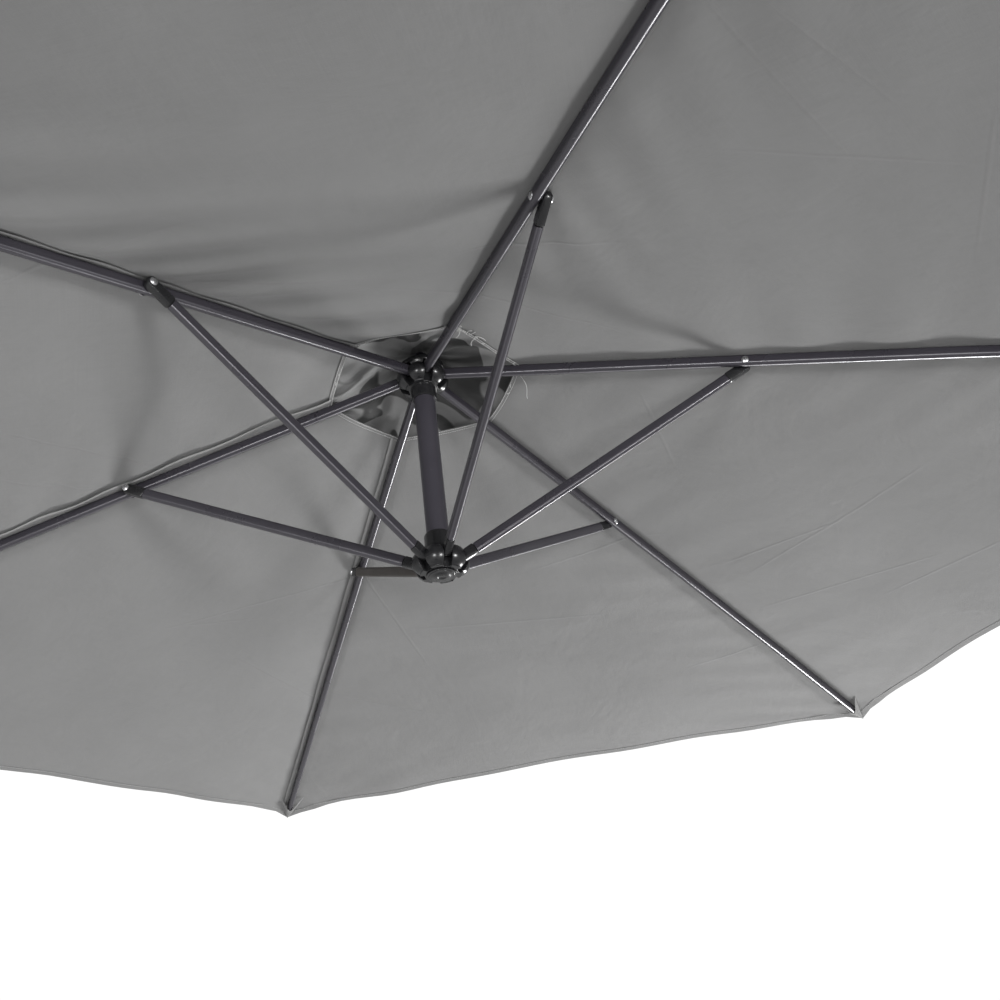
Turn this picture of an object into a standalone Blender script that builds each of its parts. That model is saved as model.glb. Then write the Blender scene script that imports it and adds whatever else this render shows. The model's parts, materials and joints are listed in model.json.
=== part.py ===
"""Cantilever parasol: six folding ribs and struts on a hanging head, curved
boom, mast with crank, cross base with four ballast tanks.

Frame: metres, +Z up, origin on the mast axis at floor level, +X from the mast
towards the canopy centre. Ribs stand at 30 + 60 k degrees round the head axis.
"""
import math

import bmesh
import bpy
from mathutils import Matrix, Vector

# ------------------------------------------------------------------ sizes
HX = 1.600           # head axis, distance from the mast axis
HZ = 2.360           # height of the upper hub's centre
RU = 0.038           # rib pivot radius
ZRU = -0.00023       # rib pivot height from the hub centre
RA = 0.5276          # strut-to-rib pivot radius
ZA = -0.1047         # rib centre line height there
ZP = ZA - 0.0022     # strut-to-rib pivot height
RT = 1.510           # rib tip radius
RIB_W, RIB_H = 0.0130, 0.0190
STR_W, STR_H = 0.0118, 0.0182
FIT_W, FIT_H = 0.0125, 0.0172
OFF = 0.0140         # sideways offset of a strut's top from its rib
RL = 0.036           # strut-to-runner pivot radius
ZL = -0.352          # strut-to-runner pivot height
MAST_R = 0.024
AZ = [30.0 + 60.0 * k for k in range(6)]


def rib_z(r):
    """Height of a rib's centre line at radius r, from the hub centre."""
    s = r - 0.0369
    d = max(0.0, r - RA)
    return -(0.2134 * s + 0.01174 * d * d)


# ------------------------------------------------------------------ helpers
for _o in list(bpy.data.objects):
    bpy.data.objects.remove(_o, do_unlink=True)

MATS = {}


def mat(name, rgb, metallic=0.0, rough=0.5):
    if name not in MATS:
        m = bpy.data.materials.new(name)
        m.use_nodes = True
        b = m.node_tree.nodes["Principled BSDF"]
        b.inputs["Base Color"].default_value = (rgb[0], rgb[1], rgb[2], 1.0)
        b.inputs["Metallic"].default_value = metallic
        b.inputs["Roughness"].default_value = rough
        m.diffuse_color = (rgb[0], rgb[1], rgb[2], 1.0)
        MATS[name] = m
    return MATS[name]


M_PAINT = mat("anthracite_paint", (0.045, 0.043, 0.052), 0.4, 0.42)
M_BLACK = mat("black_gloss", (0.012, 0.012, 0.013), 0.0, 0.25)
M_MATTE = mat("black_matte", (0.022, 0.022, 0.024), 0.0, 0.6)
M_RIVET = mat("rivet_steel", (0.75, 0.75, 0.77), 1.0, 0.25)
M_CLOTH = mat("grey_cloth", (0.20, 0.20, 0.20), 0.0, 0.9)
M_BASE = mat("base_paint", (0.03, 0.03, 0.034), 0.4, 0.5)


def finish_obj(name, bm, material, angle=35.0, smooth=True):
    bmesh.ops.remove_doubles(bm, verts=bm.verts, dist=1e-7)
    bmesh.ops.recalc_face_normals(bm, faces=bm.faces)
    if bm.calc_volume(signed=True) < 0:
        bmesh.ops.reverse_faces(bm, faces=bm.faces)
    me = bpy.data.meshes.new(name)
    bm.to_mesh(me)
    bm.free()
    ob = bpy.data.objects.new(name, me)
    bpy.context.scene.collection.objects.link(ob)
    me.materials.append(material)
    if smooth:
        for p in me.polygons:
            p.use_smooth = True
        me.set_sharp_from_angle(angle=math.radians(angle))
    return ob


def rrect(w, h, r, n=3):
    """Rounded rectangle, counter-clockwise, centred."""
    pts = []
    for cx, cy, a0 in ((w / 2 - r, h / 2 - r, 0), (-w / 2 + r, h / 2 - r, 90),
                       (-w / 2 + r, -h / 2 + r, 180), (w / 2 - r, -h / 2 + r, 270)):
        for i in range(n + 1):
            a = math.radians(a0 + 90.0 * i / n)
            pts.append((cx + r * math.cos(a), cy + r * math.sin(a)))
    return pts


def circ(r, n):
    return [(r * math.cos(2 * math.pi * i / n), r * math.sin(2 * math.pi * i / n))
            for i in range(n)]


def ring(sec, origin, u, v):
    o = Vector(origin)
    return [o + u * x + v * y for x, y in sec]


def loft(bm, rings, cap0=True, cap1=True):
    vs = [[bm.verts.new(p) for p in r] for r in rings]
    n = len(vs[0])
    for a, b in zip(vs[:-1], vs[1:]):
        for i in range(n):
            j = (i + 1) % n
            bm.faces.new((a[i], a[j], b[j], b[i]))
    if cap0:
        bm.faces.new(list(reversed(vs[0])))
    if cap1:
        bm.faces.new(vs[-1])
    return vs


def bridge(bm, a, b):
    n = len(a)
    for i in range(n):
        j = (i + 1) % n
        bm.faces.new((a[i], a[j], b[j], b[i]))


def revolve(bm, prof, n, centre=(0, 0, 0), axis=(0, 0, 1), a0=0.0):
    """Revolve a closed profile of (radius, height); radius 0 makes a pole."""
    ax = Vector(axis).normalized()
    u = ax.orthogonal().normalized()
    if abs(ax.z) > 0.99:
        u = Vector((1, 0, 0))
    v = ax.cross(u)
    c = Vector(centre)
    cols = []
    for r, z in prof:
        if r < 1e-9:
            cols.append([bm.verts.new(c + ax * z)])
        else:
            cols.append([bm.verts.new(c + ax * z
                                      + u * (r * math.cos(a0 + 2 * math.pi * i / n))
                                      + v * (r * math.sin(a0 + 2 * math.pi * i / n)))
                         for i in range(n)])
    m = len(cols)
    closed = len(cols[0]) > 1 and len(cols[-1]) > 1
    for k in range(m if closed else m - 1):
        a, b = cols[k], cols[(k + 1) % m]
        for i in range(n):
            j = (i + 1) % n
            if len(a) == 1 and len(b) == 1:
                continue
            if len(a) == 1:
                bm.faces.new((a[0], b[i], b[j]))
            elif len(b) == 1:
                bm.faces.new((a[i], a[j], b[0]))
            else:
                bm.faces.new((a[i], a[j], b[j], b[i]))


def box(bm, lo, hi, m=None):
    vs = []
    for z in (lo[2], hi[2]):
        for x, y in ((lo[0], lo[1]), (hi[0], lo[1]), (hi[0], hi[1]), (lo[0], hi[1])):
            p = Vector((x, y, z))
            vs.append(bm.verts.new(m @ p if m else p))
    for f in ((3, 2, 1, 0), (4, 5, 6, 7), (0, 1, 5, 4), (1, 2, 6, 5), (2, 3, 7, 6), (3, 0, 4, 7)):
        bm.faces.new([vs[i] for i in f])


def as_cutter(bm):
    bmesh.ops.recalc_face_normals(bm, faces=bm.faces)
    me = bpy.data.meshes.new("cut")
    bm.to_mesh(me)
    bm.free()
    ob = bpy.data.objects.new("cut", me)
    bpy.context.scene.collection.objects.link(ob)
    return ob


def bake(ob):
    dg = bpy.context.evaluated_depsgraph_get()
    dg.update()
    me = bpy.data.meshes.new_from_object(ob.evaluated_get(dg))
    ob.modifiers.clear()
    old = ob.data
    ob.data = me
    me.name = ob.name
    bpy.data.meshes.remove(old)


def boolean(ob, bm, op="DIFFERENCE", angle=35.0):
    cut = as_cutter(bm)
    m = ob.modifiers.new("b", "BOOLEAN")
    m.operation = op
    m.solver = "EXACT"
    m.object = cut
    bake(ob)
    bpy.data.objects.remove(cut, do_unlink=True)
    for p in ob.data.polygons:
        p.use_smooth = True
    ob.data.set_sharp_from_angle(angle=math.radians(angle))
    return ob


def bevel(ob, width, segments=2, angle=40.0):
    m = ob.modifiers.new("v", "BEVEL")
    m.width = width
    m.segments = segments
    m.limit_method = "ANGLE"
    m.angle_limit = math.radians(angle)
    m.harden_normals = False
    m.use_clamp_overlap = True
    bake(ob)
    for p in ob.data.polygons:
        p.use_smooth = True
    ob.data.set_sharp_from_angle(angle=math.radians(35.0))
    return ob


def frame(az):
    a = math.radians(az)
    return Vector((math.cos(a), math.sin(a), 0)), Vector((-math.sin(a), math.cos(a), 0))


C = Vector((HX, 0, HZ))
ZV = Vector((0, 0, 1))

# ------------------------------------------------------------------ ribs
RIVET_R = 0.0030
for k, az in enumerate(AZ):
    e, t = frame(az)
    bm = bmesh.new()
    stations = [0.0300, RA, 0.84, 1.17, RT]
    outer, inner = [], []
    for s in stations:
        d = 0.001
        slope = (rib_z(s + d) - rib_z(s - d)) / (2 * d)
        n = (ZV - e * slope).normalized()
        o = C + e * s + ZV * rib_z(s)
        outer.append(ring(rrect(RIB_W, RIB_H, 0.0052, 3), o, t, n))
        inner.append(ring(rrect(RIB_W - 0.0026, RIB_H - 0.0026, 0.0040, 3), o, t, n))
    o0 = C + e * 0.058 + ZV * rib_z(0.058)
    n0 = (ZV + e * 0.2134).normalized()
    inner[0] = ring(rrect(RIB_W - 0.0026, RIB_H - 0.0026, 0.0040, 3), o0, t, n0)
    a = loft(bm, outer, True, False)
    b = loft(bm, inner, True, False)
    bridge(bm, a[-1], b[-1])
    ob = finish_obj("rib_%d" % (k + 1), bm, M_PAINT)
    # cross hole for the strut rivet
    cb = bmesh.new()
    p = C + e * RA + ZV * ZP
    revolve(cb, [(0, -0.02), (RIVET_R + 0.00006, -0.02), (RIVET_R + 0.00006, 0.02), (0, 0.02)], 16, p, t)
    boolean(ob, cb)
    cb = bmesh.new()
    pr = C + e * RU + ZV * ZRU
    revolve(cb, [(0, -0.02), (0.0021, -0.02), (0.0021, 0.02), (0, 0.02)], 12, pr, t)
    boolean(ob, cb)

# ------------------------------------------------------------------ struts
sx, sz = RA - RL, ZP - ZL
for k, az in enumerate(AZ):
    e, t = frame(az)
    d = (e * sx + ZV * sz + t * OFF).normalized()  # lower pivot -> upper pivot
    n = d.cross(t).normalized()
    if n.z < 0:
        n = -n
    lo = C + e * RL + ZV * ZL
    hi = C + e * RA + ZV * ZP + t * OFF
    # tube
    bm = bmesh.new()
    p0, p1 = lo + d * 0.0243, hi - d * 0.0363
    so, si = rrect(STR_W, STR_H, 0.0052, 4), rrect(STR_W - 0.0024, STR_H - 0.0024, 0.0040, 4)
    a = loft(bm, [ring(so, p0, t, n), ring(so, p1, t, n)], False, False)
    b = loft(bm, [ring(si, p0, t, n), ring(si, p1, t, n)], False, False)
    bridge(bm, a[0], b[0])
    bridge(bm, a[1], b[1])
    finish_obj("strut_%d" % (k + 1), bm, M_PAINT)

    # end fittings: flat-sided bar with a round nose round the pivot, and a
    # spigot that enters the tube
    def fitting(name, piv, dd, length, hole_r, wide):
        bm = bmesh.new()
        out = []
        m = 8
        hh = FIT_H / 2
        for i in range(m + 1):
            ang = math.radians(90 + 180.0 * i / m)
            out.append((hh * math.cos(ang), hh * math.sin(ang)))
        # main body as an extruded outline without the spigot
        hw = STR_H / 2 + 0.0002
        body = out + [(length, -hw), (length, hw)]
        vs0 = [bm.verts.new(piv + dd * x + n * y + t * (-wide / 2)) for x, y in body]
        vs1 = [bm.verts.new(piv + dd * x + n * y + t * (wide / 2)) for x, y in body]
        nb = len(body)
        for i in range(nb):
            j = (i + 1) % nb
            bm.faces.new((vs0[i], vs0[j], vs1[j], vs1[i]))
        bm.faces.new(list(reversed(vs0)))
        bm.faces.new(vs1)
        ob = finish_obj(name, bm, M_BLACK)
        bevel(ob, 0.0032, 2, 50)
        cb = bmesh.new()
        revolve(cb, [(0, -0.02), (hole_r, -0.02), (hole_r, 0.02), (0, 0.02)], 16, piv, t)
        boolean(ob, cb)
        sb = bmesh.new()
        sp = rrect(STR_W - 0.0032, STR_H - 0.0032, 0.0040, 2)
        loft(sb, [ring(sp, piv + dd * (length - 0.0043), t, n),
                  ring(sp, piv + dd * (length + 0.014), t, n)])
        boolean(ob, sb, "UNION")
        return ob

    fitting("strut_top_%d" % (k + 1), hi, -d, 0.036, RIVET_R + 0.00006, FIT_W)
    fitting("strut_foot_%d" % (k + 1), lo, d, 0.024, 0.0021, FIT_W)

    # rivet through rib and fitting
    bm = bmesh.new()
    x0 = -RIB_W / 2 - 0.0003
    x1 = OFF + FIT_W / 2 + 0.0003
    prof = [(0, x0 - 0.0030), (0.0035, x0 - 0.0026), (0.0058, x0 - 0.0012), (0.0062, x0),
            (RIVET_R, x0), (RIVET_R, x1), (0.0062, x1), (0.0058, x1 + 0.0012),
            (0.0035, x1 + 0.0026), (0, x1 + 0.0030)]
    revolve(bm, prof, 14, C + e * RA + ZV * ZP, t)
    finish_obj("rivet_%d" % (k + 1), bm, M_RIVET, 50)

# ------------------------------------------------------------------ upper hub
def lobed(bm, prof, rc, zc, n_lobe=8):
    """Closed profile of (radius, height, domed) turned round the head axis; the
    domed points swell half way between the ribs, so each lobe is a dome."""
    n = 6 * n_lobe
    cols = []
    for r, z, domed in prof:
        col = []
        for i in range(n):
            phi = (i % n_lobe) * 60.0 / n_lobe - 30.0
            s = math.sqrt(1.0 - (phi / 39.0) ** 2) if domed else 1.0
            rr, zz = (rc + (r - rc) * s, zc + (z - zc) * s) if domed else (r, z)
            a = math.radians(30.0 + 60.0 * i / n_lobe)
            col.append(bm.verts.new(C + Vector((rr * math.cos(a), rr * math.sin(a), zz))))
        cols.append(col)
    m = len(cols)
    for k in range(m):
        a, b = cols[k], cols[(k + 1) % m]
        for i in range(n):
            j = (i + 1) % n
            bm.faces.new((a[i], a[j], b[j], b[i]))


def arc(rc, zc, ra, rb, angles):
    return [(rc + ra * math.cos(math.radians(t_)), zc + rb * math.sin(math.radians(t_)), True) for t_ in angles]


bm = bmesh.new()
prof = [(0.0040, 0.0225, False), (0.0365, 0.0225, False), (0.0385, 0.0208, False), (0.0385, 0.0150, False)]
prof += arc(0.0272, -0.0065, 0.0182, 0.0178, (66, 44, 22, 0, -22, -42, -60))
prof += [(0.0300, -0.0225, False), (0.0288, -0.0243, False), (0.0218, -0.0250, False), (0.0208, -0.0440, False),
         (0.0200, -0.0470, False), (0.0182, -0.0470, False), (0.0182, -0.0205, False), (0.0040, -0.0205, False)]
lobed(bm, prof, 0.0272, -0.0065)
hub = finish_obj("upper_hub", bm, M_BLACK)
cb = bmesh.new()
for az in AZ:
    e, t = frame(az)
    m = Matrix.Translation(C) @ Matrix.Rotation(math.radians(az), 4, "Z")
    box(cb, (0.0248, -0.0071, -0.05), (0.060, 0.0071, 0.0135), m)
boolean(hub, cb)

# ------------------------------------------------------------------ runner
bm = bmesh.new()
z0 = ZL
zc = z0 - 0.0045
prof = [(0.0182, z0 + 0.0460, False), (0.0205, z0 + 0.0460, False), (0.0222, z0 + 0.0425, False),
        (0.0222, z0 + 0.0240, False), (0.0240, z0 + 0.0200, False), (0.0240, z0 + 0.0170, False)]
prof += arc(0.0275, zc, 0.0187, 0.0195, (82, 62, 42, 22, 2, -18, -38, -56))
prof += [(0.0335, z0 - 0.0212, False), (0.0335, z0 - 0.0222, False), (0.0325, z0 - 0.0232, False),
         (0.0182, z0 - 0.0232, False)]
lobed(bm, prof, 0.0275, zc)
run = finish_obj("lower_hub", bm, M_BLACK)
cb = bmesh.new()
for az in AZ:
    m = Matrix.Translation(C) @ Matrix.Rotation(math.radians(az), 4, "Z")
    box(cb, (0.0262, -0.0068, z0 - 0.04), (0.060, 0.0068, z0 + 0.0300), m)
boolean(run, cb)

bm = bmesh.new()
prof = [(0.0178, z0 - 0.0190), (0.0178, -0.0240), (0.0160, -0.0240), (0.0160, z0 - 0.0190)]
revolve(bm, prof, 32, C)
finish_obj("centre_post", bm, M_PAINT)

bm = bmesh.new()
zc = z0 - 0.0236
prof = [(0, zc), (0.0228, zc), (0.0238, zc - 0.0008), (0.0238, zc - 0.0018), (0.0206, zc - 0.0022),
        (0.0200, zc - 0.0034), (0.0140, zc - 0.0037), (0.0130, zc - 0.0045), (0.0070, zc - 0.0048),
        (0.0062, zc - 0.0042), (0, zc - 0.0040)]
revolve(bm, prof, 30, C)
finish_obj("hub_cap", bm, M_BLACK)

# ------------------------------------------------------------------ stem, fork, pin
EYE_Z = 0.098
bm = bmesh.new()
prof = [(0, 0.0228), (0.0300, 0.0228), (0.0310, 0.0240), (0.0310, 0.0262), (0.0090, 0.0280),
        (0.0090, 0.0750), (0, 0.0750)]
revolve(bm, prof, 32, C)
stem = finish_obj("hub_stem", bm, M_PAINT)
bm = bmesh.new()
e, t = Vector((1, 0, 0)), Vector((0, 1, 0))
outl = []
for i in range(13):
    a = math.radians(-20 + 220.0 * i / 12)
    outl.append((0.0155 * math.cos(a), EYE_Z + 0.0155 * math.sin(a)))
outl += [(-0.0105, 0.066), (0.0105, 0.066)]
v0 = [bm.verts.new(C + e * x + ZV * z - t * 0.0065) for x, z in outl]
v1 = [bm.verts.new(C + e * x + ZV * z + t * 0.0065) for x, z in outl]
for i in range(len(outl)):
    j = (i + 1) % len(outl)
    bm.faces.new((v0[i], v0[j], v1[j], v1[i]))
bm.faces.new(list(reversed(v0)))
bm.faces.new(v1)
boolean(stem, bm, "UNION")
cb = bmesh.new()
revolve(cb, [(0, -0.03), (0.00506, -0.03), (0.00506, 0.03), (0, 0.03)], 32, C + ZV * EYE_Z, (0, 1, 0))
boolean(stem, cb)

# disc that clamps the vent cap down
bm = bmesh.new()
prof = [(0.0094, 0.0508), (0.0300, 0.0508), (0.0325, 0.0520), (0.0325, 0.0545), (0.0290, 0.0565),
        (0.0150, 0.0590), (0.0140, 0.0640), (0.0094, 0.0640)]
revolve(bm, prof, 36, C)
finish_obj("vent_disc", bm, M_BLACK)

# ------------------------------------------------------------------ boom
BZ = HZ + EYE_Z + 0.062                  # boom centre line over the head


def boom_path():
    pts = [Vector((0, 0, 1.4515)), Vector((0, 0, 1.60)), Vector((0, 0, 1.78)), Vector((0.012, 0, 2.00)),
           Vector((0.065, 0, 2.22)), Vector((0.185, 0, 2.41)), Vector((0.39, 0, 2.545)),
           Vector((0.66, 0, 2.615)), Vector((0.95, 0, 2.625)), Vector((1.25, 0, 2.588)),
           Vector((1.50, 0, BZ + 0.016)), Vector((1.655, 0, BZ - 0.010))]
    out = []
    n = len(pts)
    for i in range(n - 1):
        p0 = pts[max(i - 1, 0)]
        p1, p2 = pts[i], pts[i + 1]
        p3 = pts[min(i + 2, n - 1)]
        for s in range(2):
            u = s / 2.0
            q = 0.5 * ((2 * p1) + (p2 - p0) * u + (2 * p0 - 5 * p1 + 4 * p2 - p3) * u * u
                       + (3 * p1 - p0 - 3 * p2 + p3) * u * u * u)
            out.append(q)
    out.append(pts[-1])
    return out


path = boom_path()
Y = Vector((0, 1, 0))


def sweep_rings(sec, path, n_every=1):
    rings = []
    for i, p in enumerate(path):
        a = path[max(i - 1, 0)]
        b = path[min(i + 1, len(path) - 1)]
        tan = (b - a).normalized()
        u = tan.cross(Y).normalized()
        rings.append(ring(sec, p, u, Y))
    return rings


bm = bmesh.new()
a = loft(bm, sweep_rings(circ(MAST_R, 24), path), False, False)
b = loft(bm, sweep_rings(circ(MAST_R - 0.0020, 24), path), False, False)
bridge(bm, a[0], b[0])
bridge(bm, a[-1], b[-1])
finish_obj("boom", bm, M_PAINT)

# fork: sleeve over the boom end with two cheeks
tan = (path[-1] - path[-3]).normalized()
up = Y.cross(tan).normalized() * -1.0
if up.z < 0:
    up = -up
end = path[-1]
bm = bmesh.new()
prof = [(0.0243, 0.0), (0.0290, 0.0), (0.0305, 0.0020), (0.0305, 0.0880), (0.0285, 0.0920),
        (0.0200, 0.0945), (0, 0.0950), (0, 0.0885), (0.0243, 0.0885)]
# profile measured along the boom from 88 mm before its end
# closed by poles at both ends of the inner face: build as a cup
revolve(bm, [(0, 0.0950), (0.0200, 0.0945), (0.0285, 0.0920), (0.0305, 0.0880), (0.0305, 0.0020),
             (0.0290, 0.0), (0.02445, 0.0), (0.02445, 0.0885), (0, 0.0885)], 32,
        end - tan * 0.0880, tan)
fork = finish_obj("boom_fork", bm, M_BLACK)
for sgn in (-1, 1):
    cb = bmesh.new()
    outl = []
    for i in range(11):
        a = math.radians(180 + 180.0 * i / 10)
        outl.append((HX + 0.0165 * math.cos(a), HZ + EYE_Z + 0.0165 * math.sin(a)))
    outl += [(HX + 0.0300, BZ - 0.006), (HX - 0.0300, BZ - 0.003)]
    ya, yb = sgn * 0.0069, sgn * 0.0125
    v0 = [cb.verts.new((x, ya, z)) for x, z in outl]
    v1 = [cb.verts.new((x, yb, z)) for x, z in outl]
    for i in range(len(outl)):
        j = (i + 1) % len(outl)
        cb.faces.new((v0[i], v0[j], v1[j], v1[i]))
    cb.faces.new(list(reversed(v0)))
    cb.faces.new(v1)
    boolean(fork, cb, "UNION")
# clear the bore again and drill the pin hole
cb = bmesh.new()
revolve(cb, [(0, 0.0), (0.02470, 0.0), (0.02470, 0.1060), (0, 0.1060)], 40, end - tan * 0.1080, tan, 0.05)
boolean(fork, cb)
cb = bmesh.new()
revolve(cb, [(0, -0.03), (0.00506, -0.03), (0.00506, 0.03), (0, 0.03)], 32, C + ZV * EYE_Z, (0, 1, 0))
boolean(fork, cb)

bm = bmesh.new()
prof = [(0, -0.0178), (0.0060, -0.0175), (0.0088, -0.0160), (0.0088, -0.0129), (0.0050, -0.0129),
        (0.0050, 0.0129), (0.0088, 0.0129), (0.0088, 0.0160), (0.0060, 0.0175), (0, 0.0178)]
revolve(bm, prof, 24, C + ZV * EYE_Z, (0, 1, 0))
finish_obj("hang_pin", bm, M_RIVET, 50)

# ------------------------------------------------------------------ mast
bm = bmesh.new()
prof = [(MAST_R, 0.0350), (MAST_R, 1.4485), (MAST_R - 0.0020, 1.4485), (MAST_R - 0.0020, 0.0350)]
revolve(bm, prof, 36)
finish_obj("mast", bm, M_PAINT)

bm = bmesh.new()
prof = [(MAST_R + 0.0003, 1.380), (0.0285, 1.380), (0.0300, 1.384), (0.0300, 1.516), (0.0285, 1.520),
        (MAST_R + 0.0003, 1.520)]
revolve(bm, prof, 36)
finish_obj("mast_coupling", bm, M_BLACK)

# crank housing round the mast, with an open spool chamber
CX, CZ = -0.068, 1.050
bm = bmesh.new()
sec = rrect(0.150, 0.068, 0.016, 4)
loft(bm, [ring([(x - 0.032, y) for x, y in rrect(0.138, 0.058, 0.012, 4)], (0, 0, 0.960), Vector((1, 0, 0)), Y),
          ring([(x - 0.032, y) for x, y in sec], (0, 0, 0.968), Vector((1, 0, 0)), Y),
          ring([(x - 0.032, y) for x, y in sec], (0, 0, 1.132), Vector((1, 0, 0)), Y),
          ring([(x - 0.032, y) for x, y in rrect(0.138, 0.058, 0.012, 4)], (0, 0, 1.140), Vector((1, 0, 0)), Y)])
house = finish_obj("crank_housing", bm, M_BLACK)
cb = bmesh.new()
revolve(cb, [(0, 0.9), (MAST_R + 0.0003, 0.9), (MAST_R + 0.0003, 1.2), (0, 1.2)], 36)
boolean(house, cb)
cb = bmesh.new()
revolve(cb, [(0, -0.0280), (0.0330, -0.0280), (0.0330, 0.06), (0, 0.06)], 36, (CX, 0, CZ), (0, 1, 0))
boolean(house, cb)
cb = bmesh.new()
revolve(cb, [(0, -0.06), (0.00656, -0.06), (0.00656, 0.0), (0, 0.0)], 32, (CX, 0, CZ), (0, 1, 0))
boolean(house, cb)

bm = bmesh.new()
revolve(bm, [(0, 0.0300), (0.0326, 0.0300), (0.0326, 0.0343), (0.0390, 0.0343), (0.0390, 0.0375),
             (0.0370, 0.0390), (0, 0.0392)], 36, (CX, 0, CZ), (0, 1, 0))
finish_obj("housing_cover", bm, M_MATTE)

# spool with shaft; handle fixed on the shaft
bm = bmesh.new()
revolve(bm, [(0, 0.0240), (0.0290, 0.0240), (0.0300, 0.0220), (0.0300, 0.0200), (0.0200, 0.0180),
             (0.0200, -0.0180), (0.0300, -0.0200), (0.0300, -0.0220), (0.0290, -0.0240),
             (0.0065, -0.0240), (0.0065, -0.0520), (0, -0.0520)], 32, (CX, 0, CZ), (0, 1, 0))
finish_obj("spool", bm, M_MATTE)

bm = bmesh.new()
revolve(bm, [(0, -0.0525), (0.0065, -0.0525), (0.0140, -0.0528), (0.0140, -0.0640),
             (0.0115, -0.0670), (0, -0.0675)], 28, (CX, 0, CZ), (0, 1, 0))
handle = finish_obj("crank_handle", bm, M_PAINT)
cb = bmesh.new()
secv = rrect(0.018, 0.010, 0.0035, 3)
X = Vector((1, 0, 0))
loft(cb, [ring(secv, (CX, -0.0600, CZ - 0.002), X, Y), ring(secv, (CX, -0.0600, CZ - 0.060), X, Y),
          ring(rrect(0.016, 0.009, 0.0035, 3), (CX, -0.0640, CZ - 0.118), X, Y)])
boolean(handle, cb, "UNION")
cb = bmesh.new()
revolve(cb, [(0, 0.0), (0.0045, 0.0), (0.0045, -0.0680), (0.0070, -0.0680), (0.0070, -0.0715), (0, -0.0720)],
        20, (CX, -0.0640, CZ - 0.110), (0, 1, 0))
boolean(handle, cb, "UNION")

bm = bmesh.new()
revolve(bm, [(0.0046, -0.0060), (0.0130, -0.0060), (0.0150, -0.0100), (0.0125, -0.0250), (0.0135, -0.0450),
             (0.0150, -0.0580), (0.0140, -0.0640), (0.0110, -0.0665), (0.0046, -0.0670)], 28,
        (CX, -0.0640, CZ - 0.110), (0, 1, 0))
finish_obj("crank_knob", bm, M_MATTE)

# ------------------------------------------------------------------ base
bm = bmesh.new()
box(bm, (-0.500, -0.0330, 0.0), (0.500, 0.0330, 0.0150))
cross = finish_obj("base_cross", bm, M_BASE, smooth=False)
cb = bmesh.new()
box(cb, (-0.0331, -0.500, 0.0), (0.0331, 0.500, 0.0150))
boolean(cross, cb, "UNION")

bm = bmesh.new()
prof = [(0.0243, 0.0300), (0.0243, 0.2300), (0.0300, 0.2300), (0.0310, 0.2280), (0.0310, 0.0320),
        (0.0360, 0.0240), (0.0900, 0.0240), (0.0920, 0.0225), (0.0920, 0.0153), (0, 0.0153), (0, 0.0300)]
revolve(bm, [(0, 0.0153), (0.0920, 0.0153), (0.0920, 0.0225), (0.0900, 0.0240), (0.0360, 0.0240),
             (0.0310, 0.0320), (0.0310, 0.2280), (0.0300, 0.2300), (0.0243, 0.2300), (0.0243, 0.0300),
             (0, 0.0300)], 40)
socket = finish_obj("mast_socket", bm, M_BASE)
cb = bmesh.new()
revolve(cb, [(0, 0.028), (0.0100, 0.028), (0.0100, 0.046), (0, 0.046)], 24, (0, 0, 0.150), (-1, 0, 0))
boolean(socket, cb, "UNION")
cb = bmesh.new()
revolve(cb, [(0, 0.020), (0.00456, 0.020), (0.00456, 0.060), (0, 0.060)], 32, (0, 0, 0.150), (-1, 0, 0))
boolean(socket, cb)

bm = bmesh.new()
prof = [(0, 0.0245), (0.0045, 0.0245), (0.0045, 0.0490), (0.0160, 0.0490), (0.0180, 0.0510),
        (0.0180, 0.0640), (0.0160, 0.0670), (0, 0.0680)]
revolve(bm, prof, 32, (0, 0, 0.150), (-1, 0, 0))
knob = finish_obj("clamp_knob", bm, M_BLACK)
cb = bmesh.new()
for i in range(5):
    a = 2 * math.pi * i / 5
    revolve(cb, [(0, 0.0480), (0.0085, 0.0480), (0.0085, 0.0690), (0, 0.0690)], 12,
            (0, 0.0225 * math.cos(a), 0.150 + 0.0225 * math.sin(a)), (-1, 0, 0))
boolean(knob, cb)

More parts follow.
